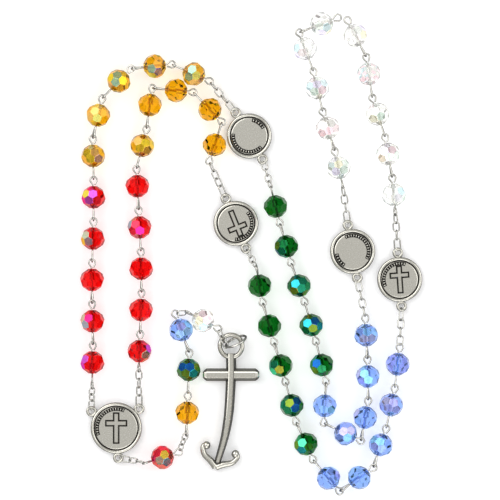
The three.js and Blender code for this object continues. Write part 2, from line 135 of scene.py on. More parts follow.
# The colours that the rainbow coat shows on each body colour, facet by facet.
COAT_COLOURS = {
    "red": [(0.85, 0.90, 0.10), (0.90, 0.05, 0.55), (0.55, 0.85, 0.60), (0.25, 0.75, 0.85),
            (0.60, 0.15, 0.90), (0.90, 0.05, 0.10)],
    "amber": [(0.35, 0.90, 0.80), (0.80, 0.90, 0.25), (0.55, 0.40, 0.95), (0.90, 0.55, 0.20),
              (0.80, 0.50, 0.60), (0.80, 0.65, 0.05)],
    "green": [(0.90, 0.65, 0.08), (0.05, 0.60, 0.80), (0.02, 0.15, 0.70), (0.10, 0.75, 0.40),
              (0.25, 0.35, 0.04), (0.03, 0.40, 0.25)],
    "blue": [(0.30, 0.90, 0.70), (0.90, 0.60, 0.55), (0.75, 0.50, 0.90), (0.25, 0.75, 0.98),
             (0.55, 0.90, 0.60), (0.35, 0.45, 0.95)],
    "clear": [(1.0, 0.35, 0.55), (0.60, 0.45, 1.0), (0.15, 0.75, 0.95), (0.98, 0.85, 0.25),
              (0.45, 0.85, 0.60), (0.90, 0.88, 0.80)],
}

# The roll of each link of a chain, from the piece nearer the centre medal to the next one. A
# small roll shows the link's oval from above, and 90 shows its edge.
CHAIN_ROLLS = {
    "left_red_bead_1": (30, -40, 35, -70),
    "right_red_bead_1": (20, -40, 70, -15),
    "pendant_red_bead": (20, -40, 75),
    "left_medal_1": (75, -10, 75, -25),
    "left_green_bead_1": (20, 85, 5, -60),
    "right_medal_1": (70, -30, 30, -40),
    "right_green_bead_1": (65, 5, -60),
    "left_medal_2": (80, 5, 80, 15),
    "left_clear_bead_1": (15, 85, -5, -65),
    "right_medal_2": (10, 80, 5, -55),
    "right_clear_bead_1": (10, 80, 0, -60),
    "pendant_amber_green_beads": (-40, 50, -20),
    "pendant_clear_bead": (40,),
    "anchor_cross": (50, -35, 40),
}
# The piece whose chain hangs on its own pin, though it follows another bead.
CHAIN_ON_ITS_OWN_PIN = ("pendant_clear_bead",)


# ---- where things are ----

# How near to the highest level a bead's top point lies, and how near to each other two points
# are taken as one.
TOP_TOLERANCE = 0.02
SAME_POINT = 1

joints = {joint["child"]: joint for joint in frame["joints"]}
children = {}
for child, joint in joints.items():
    children.setdefault(joint["parent"], []).append(child)


def pivot_of(node):
    return Vector(joints[node]["pos_m"]) / MM


def plan(point, height=STRAND_HEIGHT):
    """A point moved straight up or down to a height."""
    return Vector((point[0], point[1], height))


def joint_direction(node):
    """The level direction of the strand at a piece's joint, away from its parent."""
    axis = Vector(joints[node]["axis"])
    along = Vector((-axis.y, axis.x, 0)).normalized()
    low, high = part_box(node)
    away = (low + high) / (2 * MM) - pivot_of(node)
    return along if along.dot(away) > 0 else -along


def bead_centres(node):
    """The middles of a node's beads, which lie under its highest points, nearest the joint first."""
    found = []
    for vertex in frame["nodes"][node].data.vertices:
        point = vertex.co / MM
        is_top = point.z > 2 * STRAND_HEIGHT - TOP_TOLERANCE
        if is_top and all((point - other).length > SAME_POINT for other in found):
            found.append(point)
    pivot = pivot_of(node)
    return [plan(point) for point in sorted(found, key=lambda point: (point - pivot).length)]


def eye_on_line(pivot, direction, centre):
    """Where a line from a joint first comes within an eye's offset of a bead's middle."""
    to_centre = plan(centre) - plan(pivot)
    along = to_centre.dot(direction)
    across = (to_centre - direction * along).length
    return plan(pivot) + direction * (along - math.sqrt(max(EYE_OFFSET ** 2 - across ** 2, 0)))


# ---- shapes: lists of vertices and faces in millimetres ----


class Shape:
    """Vertices and faces, each face with a material number and a smooth flag."""

    def __init__(self):
        self.vertices = []
        self.faces = []
        self.materials = []
        self.smooth = []

    def add(self, mesh, material=0, smooth=True, matrix=None):
        vertices, faces = mesh
        start = len(self.vertices)
        self.vertices += [matrix @ Vector(v) if matrix else Vector(v) for v in vertices]
        self.faces += [[start + i for i in face] for face in faces]
        self.materials += [material] * len(faces)
        self.smooth += [smooth] * len(faces)
        return self


def softened(points):
    """A line with its corners cut."""
    cut = []
    for a, b in zip(points, points[1:]):
        cut += [a.lerp(b, 0.25), a.lerp(b, 0.75)]
    return [points[0], *cut, points[-1]]


def grid_faces(rows, columns, closed_rows):
    """Faces between rows of points, each a closed ring, and from the last row to the first."""
    faces = []
    for i in range(rows if closed_rows else rows - 1):
        for j in range(columns):
            a = i * columns + j
            b = i * columns + (j + 1) % columns
            c = ((i + 1) % rows) * columns + (j + 1) % columns
            d = ((i + 1) % rows) * columns + j
            faces.append([a, b, c, d])
    return faces


def tube(points, radius, sides=8, closed=False):
    """A round wire along a line of points, with its section carried along without twisting."""
    count = len(points)
    tangents = []
    for i in range(count):
        before = points[i - 1] if closed or i > 0 else points[i]
        after = points[(i + 1) % count] if closed or i < count - 1 else points[i]
        tangents.append((after - before).normalized())
    normal = tangents[0].orthogonal().normalized()
    vertices = []
    for i, (point, tangent) in enumerate(zip(points, tangents)):
        normal = (normal - tangent * normal.dot(tangent)).normalized()
        other = tangent.cross(normal)
        size = radius[i] if isinstance(radius, list) else radius
        for k in range(sides):
            angle = math.tau * k / sides
            vertices.append(point + (normal * math.cos(angle) + other * math.sin(angle)) * size)
    faces = grid_faces(count, sides, closed)
    if closed:
        join_twisted_ring(vertices, faces, count, sides)
    else:
        faces += [list(range(sides))[::-1], list(range((count - 1) * sides, count * sides))]
    return vertices, faces


def join_twisted_ring(vertices, faces, count, sides):
    """Turns the last stretch of a closed tube so that its section meets the first one evenly."""
    last = vertices[(count - 1) * sides]
    shift = min(range(sides), key=lambda k: (vertices[k] - last).length)
    for i in range(len(faces) - sides, len(faces)):
        k = i - (len(faces) - sides)
        faces[i][2] = (k + 1 + shift) % sides
        faces[i][3] = (k + shift) % sides


def lathe(profile, segments=64):
    """A profile of (radius, height) turned round Z. It starts and ends on the axis."""
    vertices = [Vector((0, 0, profile[0][1]))]
    for radius, height in profile[1:-1]:
        for k in range(segments):
            angle = math.tau * k / segments
            vertices.append(Vector((radius * math.cos(angle), radius * math.sin(angle), height)))
    vertices.append(Vector((0, 0, profile[-1][1])))
    rings = len(profile) - 2
    faces = [[1 + i for i in face] for face in grid_faces(rings, segments, False)]
    top = len(vertices) - 1
    for k in range(segments):
        after = (k + 1) % segments
        faces.append([0, 1 + after, 1 + k])
        faces.append([top, 1 + (rings - 1) * segments + k, 1 + (rings - 1) * segments + after])
    return vertices, faces


def ball(centre, radii, segments, rings):
    """An ellipsoid with its poles up and down."""
    profile = []
    for i in range(rings + 1):
        angle = math.pi * i / rings - math.pi / 2
        profile.append((math.cos(angle), math.sin(angle)))
    vertices, faces = lathe(profile, segments)
    return [v * Vector(radii) + Vector(centre) for v in vertices], faces


def ring(radius, wire, segments):
    """A torus that lies flat round the origin."""
    points = []
    for k in range(segments):
        angle = math.tau * k / segments
        points.append(Vector((radius * math.cos(angle), radius * math.sin(angle), 0)))
    return tube(points, wire, 12, closed=True)


def prism(outline, low, high, edge=0.0):
    """A plate with an outline of (x, y) points, whose top edge can be cut back by a bevel."""
    levels = [(low, 0.0), (high - edge, 0.0), (high, edge)] if edge else [(low, 0.0), (high, 0.0)]
    vertices = []
    count = len(outline)
    for height, inset in levels:
        for i, point in enumerate(outline):
            before, after = Vector(outline[i - 1]), Vector(outline[(i + 1) % count])
            corner = Vector(point)
            moved = corner + inward_at(before, corner, after) * inset
            vertices.append(Vector((moved.x, moved.y, height)))
    faces = grid_faces(len(levels), count, False)
    faces += [list(range(count))[::-1], list(range((len(levels) - 1) * count, len(levels) * count))]
    return vertices, faces


def inward_at(before, corner, after):
    """How a corner of an outline that runs anticlockwise moves for an inset of one."""
    first = (corner - before).normalized()
    second = (after - corner).normalized()
    normal_a = Vector((-first.y, first.x))
    normal_b = Vector((-second.y, second.x))
    total = normal_a + normal_b
    return total / max(total.length_squared / 2, 0.2)


def bar(points, half_widths, section):
    """A solid swept along points on plan. A half width scales the side of (side, height) points."""
    vertices = []
    for i, point in enumerate(points):
        before = points[max(i - 1, 0)]
        after = points[min(i + 1, len(points) - 1)]
        along = (after - before).normalized()
        side = Vector((along.y, -along.x, 0))
        for across, height in section:
            vertices.append(point + side * across * half_widths[i] + UP * height)
    count = len(section)
    faces = grid_faces(len(points), count, False)
    last = (len(points) - 1) * count
    faces += [list(range(count))[::-1], list(range(last, last + count))]
    return vertices, faces


# How many stretches a smooth line has between two of the points it is given.
CURVE_STEPS = 6


def curve_through(points):
    """A smooth line through points, as a Catmull-Rom curve."""
    line = []
    padded = [points[0] * 2 - points[1], *points, points[-1] * 2 - points[-2]]
    for a, b, c, d in zip(padded, padded[1:], padded[2:], padded[3:]):
        for k in range(CURVE_STEPS):
            t = k / CURVE_STEPS
            line.append(0.5 * (2 * b + (c - a) * t + (2 * a - 5 * b + 4 * c - d) * t ** 2
                               + (3 * b - a - 3 * c + d) * t ** 3))
    line.append(points[-1])
    return line


# ---- materials ----


# The share of silver's dark colour left on steep sides, as painted shade for their dark reflections.
# Painted light, with full metal, starts and is full where the upward part of its direction is this
# much.
SIDE_SHADE_SHARE = 0.07
SIDE_LIGHT_FROM = 0.4
SIDE_LIGHT_TO = 0.85


def new_material(name):
    material = bpy.data.materials.new(name)
    material.use_nodes = True
    material.node_tree.nodes.clear()
    return material, material.node_tree.nodes, material.node_tree.links


def noise_to_bump(nodes, links, scale, strength, distance):
    """A bump made from noise in the object's own coordinates."""
    coordinates = nodes.new("ShaderNodeTexCoord")
    noise = nodes.new("ShaderNodeTexNoise")
    noise.inputs["Scale"].default_value = scale
    noise.inputs["Detail"].default_value = 4
    bump = nodes.new("ShaderNodeBump")
    bump.inputs["Strength"].default_value = strength
    bump.inputs["Distance"].default_value = distance
    links.new(coordinates.outputs["Object"], noise.inputs["Vector"])
    links.new(noise.outputs["Fac"], bump.inputs["Height"])
    return noise, bump


def metal_material(name, light, dark, roughness, scale, bump_strength):
    """Silver with a mottled colour and roughness from noise."""
    material, nodes, links = new_material(name)
    output = nodes.new("ShaderNodeOutputMaterial")
    shader = nodes.new("ShaderNodeBsdfPrincipled")
    noise, bump = noise_to_bump(nodes, links, scale, bump_strength, 0.00005)
    colours = nodes.new("ShaderNodeValToRGB")
    colours.color_ramp.elements[0].color = (*dark, 1)
    colours.color_ramp.elements[0].position = 0.3
    colours.color_ramp.elements[1].color = (*light, 1)
    colours.color_ramp.elements[1].position = 0.65
    rough = nodes.new("ShaderNodeMapRange")
    rough.inputs["To Min"].default_value = roughness[0]
    rough.inputs["To Max"].default_value = roughness[1]
    links.new(noise.outputs["Fac"], colours.inputs["Fac"])
    links.new(noise.outputs["Fac"], rough.inputs["Value"])
    # Painted shade: steep sides get a far darker colour and no metal, from the painted light
    # attribute.
    painted_light_node = nodes.new("ShaderNodeAttribute")
    painted_light_node.attribute_name = "painted_side_light"
    shade_painted_colour = nodes.new("ShaderNodeMix")
    shade_painted_colour.data_type = "RGBA"
    shade_painted_colour.inputs["A"].default_value = (*[value * SIDE_SHADE_SHARE for value in dark], 1)
    links.new(painted_light_node.outputs["Fac"], shade_painted_colour.inputs["Factor"])
    links.new(colours.outputs["Color"], shade_painted_colour.inputs["B"])
    links.new(shade_painted_colour.outputs["Result"], shader.inputs["Base Color"])
    links.new(rough.outputs["Result"], shader.inputs["Roughness"])
    links.new(bump.outputs["Normal"], shader.inputs["Normal"])
    links.new(painted_light_node.outputs["Fac"], shader.inputs["Metallic"])
    shader.inputs["Specular IOR Level"].default_value = 0.05
    links.new(shader.outputs["BSDF"], output.inputs["Surface"])
    return material


def mix_by_coat(nodes, links, share, plain, coated):
    """A number that goes from its value on bare glass to its value on the coat."""
    between = nodes.new("ShaderNodeMapRange")
    between.inputs["To Min"].default_value = plain
    between.inputs["To Max"].default_value = coated
    links.new(share, between.inputs["Value"])
    return between.outputs["Result"]


def paled(colour, share):
    """A colour mixed with white, as four channels. Share is how much of the colour is left."""
    return (*[1 - share + share * value for value in colour], 1)


def crystal_material(name, colour, clarity):
    """Glass with a body colour, and the rainbow coat over it where the mesh's coat colour says.
    Its shadow is light, with a faint tint, and its reflections have some of its colour."""
    material, nodes, links = new_material(name)
    output = nodes.new("ShaderNodeOutputMaterial")
    glass = nodes.new("ShaderNodeBsdfPrincipled")
    glass.inputs["IOR"].default_value = 1.5
    glass.inputs["Specular IOR Level"].default_value = 0.3
    glass.inputs["Specular Tint"].default_value = paled(colour, 0.92)
    glass.inputs["Transmission Weight"].default_value = clarity
    coat = nodes.new("ShaderNodeAttribute")
    coat.attribute_name = "coat"
    tint = nodes.new("ShaderNodeMix")
    tint.data_type = "RGBA"
    tint.inputs["A"].default_value = (*colour, 1)
    links.new(coat.outputs["Alpha"], tint.inputs["Factor"])
    links.new(coat.outputs["Color"], tint.inputs["B"])
    links.new(tint.outputs["Result"], glass.inputs["Base Color"])
    metallic = mix_by_coat(nodes, links, coat.outputs["Alpha"], 0, 0.86)
    links.new(metallic, glass.inputs["Metallic"])
    roughness = mix_by_coat(nodes, links, coat.outputs["Alpha"], 0.02, 0.28)
    links.new(roughness, glass.inputs["Roughness"])
    passed = nodes.new("ShaderNodeBsdfTransparent")
    passed.inputs["Color"].default_value = paled(colour, 0.08)
    light_path = nodes.new("ShaderNodeLightPath")
    shown = nodes.new("ShaderNodeMixShader")
    links.new(light_path.outputs["Is Shadow Ray"], shown.inputs["Fac"])
    links.new(glass.outputs["BSDF"], shown.inputs[1])
    links.new(passed.outputs["BSDF"], shown.inputs[2])
    links.new(shown.outputs["Shader"], output.inputs["Surface"])
    return material


def floor_material():
    material, nodes, links = new_material("pale_floor")
    output = nodes.new("ShaderNodeOutputMaterial")
    shader = nodes.new("ShaderNodeBsdfPrincipled")
    shader.inputs["Base Color"].default_value = (*FLOOR_COLOUR, 1)
    shader.inputs["Roughness"].default_value = FLOOR_ROUGHNESS
    shader.inputs["Emission Color"].default_value = (1, 1, 1, 1)
    shader.inputs["Emission Strength"].default_value = FLOOR_GLOW
    links.new(shader.outputs["BSDF"], output.inputs["Surface"])
    return material


CRYSTAL = {name: crystal_material(f"crystal_{name}", colour, CLARITIES.get(name, 1.0))
           for name, colour in BODY_COLOURS.items()}
# Each silver's light and dark colour, its range of roughness, and its noise's scale and bump.
WIRE = metal_material("silver_wire", (0.76, 0.75, 0.70), (0.64, 0.63, 0.58),
                      (0.14, 0.24), 1500, 0.08)
CAST = metal_material("antique_silver", (0.76, 0.74, 0.66), (0.67, 0.65, 0.58),
                      (0.22, 0.30), 2600, 0.07)
PATINA = metal_material("dark_patina", (0.030, 0.029, 0.025), (0.012, 0.012, 0.010),
                        (0.45, 0.70), 900, 0.3)


# ---- pieces ----


def finish_piece(name, shape, materials, body, replaced=()):
    """Makes a metal piece from a shape."""
    mesh = bpy.data.meshes.new(name)
    mesh.from_pydata([v * MM for v in shape.vertices], [], shape.faces)
    for material in materials:
        mesh.materials.append(material)
    mesh.polygons.foreach_set("material_index", shape.materials)
    mesh.polygons.foreach_set("use_smooth", shape.smooth)
    tidy = bmesh.new()
    tidy.from_mesh(mesh)
    bmesh.ops.recalc_face_normals(tidy, faces=tidy.faces)
    tidy.to_mesh(mesh)
    tidy.free()
    add_painted_side_light(mesh)
    place_piece(name, mesh, body, replaced)


def place_piece(name, mesh, body, replaced):
    """Puts a mesh in the scene, ties it to its body and hides the nodes it replaces."""
    piece = bpy.data.objects.new(name, mesh)
    bpy.context.scene.collection.objects.link(piece)
    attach(piece, body)
    if replaced:
        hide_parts(*replaced)


def add_painted_side_light(mesh):
    """Marks how much painted light each surface gets: fully where it is level, none at steep sides,
    which get painted shade.
    """
    layer = mesh.attributes.new("painted_side_light", "FLOAT", "CORNER")
    for face in mesh.polygons:
        for index in face.loop_indices:
            vertex = mesh.vertices[mesh.loops[index].vertex_index]
            slope = abs(vertex.normal.z if face.use_smooth else face.normal.z)
            share = (slope - SIDE_LIGHT_FROM) / (SIDE_LIGHT_TO - SIDE_LIGHT_FROM)
            layer.data[index].value = min(max(share, 0.0), 1.0)


def facing(centre, direction, roll=0):
    """A matrix that puts a local frame at a point, with X along a direction, turned about X."""
    along = direction.normalized()
    left = UP.cross(along).normalized()
    up = along.cross(left)
    turn = Matrix((along, left, up)).transposed().to_4x4()
    return Matrix.Translation(centre) @ turn @ Matrix.Rotation(math.radians(roll), 4, "X")


def facet_normals():
    """The facets' directions, with the hole along X."""
    normals = []
    for row, latitude in enumerate(FACET_LATITUDES):
        for k in range(FACETS_ROUND):
            angle = math.tau * (k + 0.5 * (row % 2)) / FACETS_ROUND
            radius = math.cos(math.radians(latitude))
            normals.append(Vector((math.sin(math.radians(latitude)), radius * math.cos(angle),
                                   radius * math.sin(angle))))
    return normals


def cut_bead():
    """The faceted ball: a cube cut by a plane for each facet and mouth, with the hole through it."""
    ball_mesh = bmesh.new()
    bmesh.ops.create_cube(ball_mesh, size=4 * BEAD_CORNER_RADIUS)
    planes = [(normal, 1.0) for normal in facet_normals()]
    planes += [(Vector((side, 0, 0)), MOUTH_DISTANCE) for side in (-1, 1)]
    for normal, distance in planes:
        geometry = ball_mesh.verts[:] + ball_mesh.edges[:] + ball_mesh.faces[:]
        cut = bmesh.ops.bisect_plane(ball_mesh, geom=geometry, plane_co=normal * distance,
                                     plane_no=normal, clear_outer=True)
        edges = [item for item in cut["geom_cut"] if isinstance(item, bmesh.types.BMEdge)]
        bmesh.ops.contextual_create(ball_mesh, geom=edges)
    corner = max(vertex.co.length for vertex in ball_mesh.verts)
    growth = Vector((1, 1, 1)) * BEAD_CORNER_RADIUS / corner
    bmesh.ops.scale(ball_mesh, vec=growth, verts=ball_mesh.verts)
    bmesh.ops.recalc_face_normals(ball_mesh, faces=ball_mesh.faces)
    drill(ball_mesh)
    return ball_mesh


def drill(ball_mesh):
    """Opens the two mouths and joins them by the wall of the hole."""
    mouths = [face for face in ball_mesh.faces if abs(face.normal.x) > 0.99]
    rims = []
    for mouth in mouths:
        side = 1 if mouth.normal.x > 0 else -1
        corners = list(mouth.verts)
        inner = []
        for vertex in corners:
            across = Vector((0, vertex.co.y, vertex.co.z)).normalized() * HOLE_RADIUS
            sunk = Vector((vertex.co.x - MOUTH_SINK * side, across.y, across.z))
            inner.append(ball_mesh.verts.new(sunk))
        ball_mesh.faces.remove(mouth)
        count = len(corners)
        for i in range(count):
            j = (i + 1) % count
            ball_mesh.faces.new([corners[i], corners[j], inner[j], inner[i]])
        rims.append(sorted(inner, key=lambda v: math.atan2(v.co.z, v.co.y)))
    first, second = rims
    count = len(first)
    for i in range(count):
        j = (i + 1) % count
        ball_mesh.faces.new([first[i], first[j], second[j], second[i]])
    bmesh.ops.recalc_face_normals(ball_mesh, faces=ball_mesh.faces)


def add_crystal(name, colour, matrix, coat_turn, body, replaced=()):
    """A crystal bead whose coated side is turned about its hole from straight up."""
    chance = random.Random(name)
    cut = cut_bead()
    roll = Matrix.Rotation(math.radians(chance.uniform(0, 360 / FACETS_ROUND)), 3, "X")
    bmesh.ops.rotate(cut, verts=cut.verts, cent=Vector(), matrix=roll)
    edges = [edge for edge in cut.edges if edge.calc_face_angle(0) > SHARP_EDGE]
    paint_coat(cut, colour, coat_turn, chance)
    bmesh.ops.bevel(cut, geom=edges, offset=FACET_EDGE, segments=1, affect="EDGES",
                    clamp_overlap=True)
    cut.transform(Matrix.Scale(MM, 4) @ matrix)
    mesh = bpy.data.meshes.new(name)
    cut.to_mesh(mesh)
    cut.free()
    mesh.materials.append(CRYSTAL[colour])
    place_piece(name, mesh, body, replaced)


def paint_coat(cut, colour, coat_turn, chance):
    """Gives each facet one of its colour's coat colours, with the coat's share as its alpha."""
    layer = cut.loops.layers.float_color.new("coat")
    coated_side = None
    if coat_turn is not PLAIN:
        turn = math.radians(coat_turn)
        coated_side = Vector((0, math.sin(turn), math.cos(turn)))
    for face in cut.faces:
        share = coat_share(face, coated_side) * COAT_STRENGTHS[colour]
        tint = chance.choice(COAT_COLOURS[colour])
        for loop in face.loops:
            loop[layer] = (*tint, share * chance.uniform(*COAT_VARIATION))


def coat_share(face, coated_side):
    """How strongly a facet shows the coat: full where it faces the coated side, none behind."""
    is_mouth = abs(face.normal.x) > 0.95
    is_wall = face.calc_center_median().length < WALL_DISTANCE
    if coated_side is None or is_mouth or is_wall:
        return 0.0
    return min(max((face.normal.dot(coated_side) - COAT_FROM) / COAT_RISE, 0.0), 1.0)


EYE_SPREAD = 20
# A pin's wire bends into its eye this far inside the bead, and its end comes back this far out.
EYE_START_DEPTH = 0.25
EYE_END_GAP = 0.3
EYE_STEPS = 18
LINK_END_STEPS = 10


def eye_points(side, offset, roll):
    """The line of an eye from the bead's mouth out round its loop and back to the mouth."""
    mouth = BEAD_CORNER_RADIUS - EYE_START_DEPTH
    open_angle = math.pi - math.acos(EYE_RADIUS / (offset - mouth))
    lateral = Vector((0, math.cos(math.radians(roll)), math.sin(math.radians(roll))))
    points = [Vector((side * mouth, 0, 0))]
    for k in range(EYE_STEPS + 1):
        angle = open_angle - 2 * open_angle * k / EYE_STEPS
        x = offset + EYE_RADIUS * math.cos(angle)
        points.append(Vector((side * x, 0, 0)) + lateral * EYE_RADIUS * math.sin(angle))
    points.append(Vector((side * (mouth + EYE_END_GAP), 0, 0)) - lateral * PIN_WIRE * 1.6)
    return points


def add_pin(name, matrix, before, after, body):
    """A bead's eye pin. Before and after give each eye's offset and roll."""
    line = eye_points(-1, *before)[::-1] + eye_points(1, *after)
    shape = Shape().add(tube(softened(line), PIN_WIRE, 10), matrix=matrix)
    finish_piece(name, shape, [WIRE], body)


def link_points(half_length, half_width):
    """The centre line of a chain link: straight sides and round ends, along X."""
    straight = half_length - half_width
    points = []
    for side in (1, -1):
        for k in range(LINK_END_STEPS + 1):
            angle = math.pi * k / LINK_END_STEPS - math.pi / 2
            x = straight + half_width * math.cos(angle)
            points.append(Vector((side * x, side * half_width * math.sin(angle), 0)))
    return points


def add_chain(name, start, end, rolls, long_link, body):
    """Hooks links from a start point to an end point. Both points are where end wires lie."""
    along = end - start
    shares = [1.0] * len(rolls)
    if long_link is not None:
        shares[long_link] = LUG_LINK_SHARE
    lengths = along.length + (len(rolls) - 1) * 2 * LINK_WIRE
    direction = along.normalized()
    distance = 0.0
    for i, roll in enumerate(rolls):
        half = lengths * shares[i] / sum(shares) / 2
        centre = start + direction * (distance + half)
        line = link_points(half, min(LINK_HALF_WIDTH, half * 0.8))
        turn = facing(centre, direction, roll)
        shape = Shape().add(tube(line, LINK_WIRE, 8, closed=True), matrix=turn)
        finish_piece(f"{name}_link_{i + 1}", shape, [WIRE], body)
        distance += 2 * half - 2 * LINK_WIRE


def slight_turn(name):
    """A turn within EYE_SPREAD degrees either way that is always the same for a name."""
    return random.Random(name).uniform(-EYE_SPREAD, EYE_SPREAD)


# ---- the strands ----


def lug_point(pivot, direction, sign):
    """The middle of the lug that a chain's end link is hooked in, seen from its joint."""
    return plan(pivot, LUG_HEIGHT) + direction * sign * LUG_RADIUS


def inside(radius, wire):
    """How far from the middle of an eye or lug the end wire of a link in it lies."""
    return radius - wire - LINK_WIRE


def unit_places(node):
    """The middle of a node's bead, its direction along the strand, and if a chain comes before it."""
    centre = bead_centres(node)[0]
    direction = joint_direction(node)
    if node in CHAIN_ROLLS:
        eye = eye_on_line(pivot_of(node), direction, centre)
        return centre, (centre - eye).normalized(), True
    return centre, direction, False


def chain_before(node, centre, heading):
    """The chain from the parent's lug or eye to the eye before a node's bead."""
    direction = joint_direction(node)
    pivot = pivot_of(node)
    eye = centre - heading * EYE_OFFSET
    if joints[node]["parent"].startswith("pendant"):
        hold = plan(pivot) - direction * EYE_RADIUS
        start_share = inside(EYE_RADIUS, PIN_WIRE)
        long_link = None
    else:
        hold = lug_point(pivot, direction, -1)
        start_share = inside(LUG_RADIUS, LUG_WIRE)
        long_link = 0
    along = (eye - hold).normalized()
    start = hold + along * start_share
    end = eye - along * inside(EYE_RADIUS, PIN_WIRE)
    add_chain(node, start, end, CHAIN_ROLLS[node], long_link, node)


def chain_after(node, child, eye):
    """The chain from the eye after a node's last bead to a child's lug, eye or ring."""
    rolls = CHAIN_ROLLS[child]
    direction = joint_direction(child)
    pivot = pivot_of(child)
    long_link = None
    if "medal" in child:
        hold = lug_point(pivot, direction, 1)
        end_share = inside(LUG_RADIUS, LUG_WIRE)
        long_link = len(rolls) - 1
    elif child == "anchor_cross":
        hold = jump_ring_end()
        end_share = -JUMP_RING_WIRE - LINK_WIRE
    else:
        hold = plan(pivot)
        end_share = 0
    along = (hold - eye).normalized()
    start = eye + along * inside(EYE_RADIUS, PIN_WIRE)
    add_chain(f"{node}_to_{child}", start, hold - along * end_share, rolls, long_link, node)


def jump_ring_centre():
    return plan(pivot_of("anchor_cross")) + Vector((*JUMP_RING_FROM_PIVOT, 0))


def jump_ring_end():
    angle = math.radians(JUMP_RING_HEADING)
    return jump_ring_centre() - Vector((math.cos(angle), math.sin(angle), 0)) * JUMP_RING_RADIUS


def colour_and_coat(node):
    """A bead node's colour, and the turn of its coat."""
    strand, colour, _, number = node.split("_")
    return colour, COAT_TURNS[f"{strand}_{colour}"][int(number) - 1]


def add_bead_unit(node):
    """A bead with its pin, and the chains on the pin."""
    centre, heading, has_chain = unit_places(node)
    before = (EYE_OFFSET if has_chain else HOOKED_EYE_OFFSET, 90 + slight_turn(node + "before"))
    after = (EYE_OFFSET, slight_turn(node + "after"))
    if node.startswith("pendant"):
        colour = node.split("_")[1]
        coat_turn = PENDANT_COAT_TURNS[colour]
    else:
        colour, coat_turn = colour_and_coat(node)
    matrix = facing(centre, heading)
    add_crystal(f"{node}_crystal", colour, matrix, coat_turn, node, (node,))
    add_pin(f"{node}_pin", matrix, before, after, node)
    if has_chain:
        chain_before(node, centre, heading)
    for child in children.get(node, []):
        if child in CHAIN_ROLLS and child not in CHAIN_ON_ITS_OWN_PIN:
            chain_after(node, child, centre + heading * EYE_OFFSET)


def add_pair(node):
    """The pendant's amber and green beads, whose pins are hooked together."""
    heading = joint_direction(node)
    for place, colour in zip(bead_centres(node), ("amber", "green")):
        matrix = facing(place, heading)
        coat_turn = PENDANT_COAT_TURNS[colour]
        replaced = (node,) if colour == "amber" else ()
        add_crystal(f"pendant_{colour}_crystal", colour, matrix, coat_turn, node, replaced)
        before = (HOOKED_EYE_OFFSET, 90 + slight_turn(colour + "before"))
        after = (EYE_OFFSET, slight_turn(colour + "after"))
        add_pin(f"pendant_{colour}_pin", matrix, before, after, node)


# ---- medals ----

MEDAL_RADIUS = 7.65
CENTRE_MEDAL_RADIUS = 8.7
MEDAL_RIM = 2.1
MEDAL_FIELD = 1.6
RIM_WIDTH = 1.1
GROOVE_WIDTH = 0.28
MEDAL_SEGMENTS = 72
# The rows of the medal's profile, from its back, whose faces are the dark groove's.
GROOVE_ROWS = (9, 10, 11)
BORDER_INSET = 1.6
BORDER_WIDTH = 1.25
GRAIN_STEP = 0.86
GRAIN_RADII = (0.5, 0.19, 0.24)
# How deep borders and emblems are rooted in the field, and how far their dark part rises.
FIELD_ROOT = 0.3
BORDER_RISE = 0.04
GRAIN_RISE = 0.05
# The emblem's length, bar width, arm level and arm half length as shares of the medal's radius.
EMBLEM_SHARES = (1.12, 0.15, 0.19, 0.38)
EMBLEM_SURROUND = 0.48
EMBLEM_SURROUND_RISE = 0.03
EMBLEM_RISE = 0.38
EMBLEM_BEVEL = 0.14
NECK_RADII = (0.75, 0.75, 0.5)
# The arcs that the border covers, in degrees from the head of a medal's front or back.
FRONT_BORDERS = [(-25, 112)]
BACK_BORDERS = [(-128, 18), (88, 140)]


def medal_profile(radius):
    """A medal's (radius, height) points, from the middle of its back to that of its front."""
    edge = radius - RIM_WIDTH
    back = [(0, 0), (radius - 0.35, 0), (radius - 0.08, 0.2), (radius, 0.5)]
    rim = [(radius, 1.45), (radius - 0.1, 1.8), (radius - 0.32, MEDAL_RIM - 0.06),
           (radius - 0.6, MEDAL_RIM), (edge + 0.2, MEDAL_RIM - 0.08), (edge, MEDAL_RIM - 0.3)]
    groove = [(edge - 0.04, MEDAL_FIELD - 0.18), (edge - GROOVE_WIDTH, MEDAL_FIELD - 0.18),
              (edge - GROOVE_WIDTH - 0.06, MEDAL_FIELD)]
    return [*back, *rim, *groove, (edge - GROOVE_WIDTH - 0.5, MEDAL_FIELD), (0, MEDAL_FIELD)]


def add_lug(shape, direction, radius):
    """A ring at a medal's edge, with a neck that joins it to the medal."""
    outward = Vector((direction.x, direction.y, 0))
    place = outward * (radius + LUG_OFFSET) + UP * LUG_HEIGHT
    shape.add(ring(LUG_RADIUS, LUG_WIRE, 28), matrix=Matrix.Translation(place))
    neck = outward * (radius - 0.1) + UP * LUG_HEIGHT
    shape.add(ball(neck, NECK_RADII, 12, 8))


def add_medal(node, lug_directions, centre, radius, up_angle, has_emblem, border_arcs):
    """A round medal with its lugs, a dark groove, borders of grains and a plain raised cross."""
    shape = Shape().add(lathe(medal_profile(radius), MEDAL_SEGMENTS))
    for row in GROOVE_ROWS:
        start = (row - 1) * MEDAL_SEGMENTS
        shape.materials[start:start + MEDAL_SEGMENTS] = [1] * MEDAL_SEGMENTS
    for direction in lug_directions:
        add_lug(shape, direction, radius)
    for start, end in border_arcs:
        add_border(shape, radius, start + up_angle, end + up_angle)
    if has_emblem:
        add_emblem(shape, radius, up_angle)
    move = Matrix.Translation(plan(centre, 0))
    shape.vertices = [move @ vertex for vertex in shape.vertices]
    finish_piece(f"{node}_cast", shape, [CAST, PATINA], node, (node,))


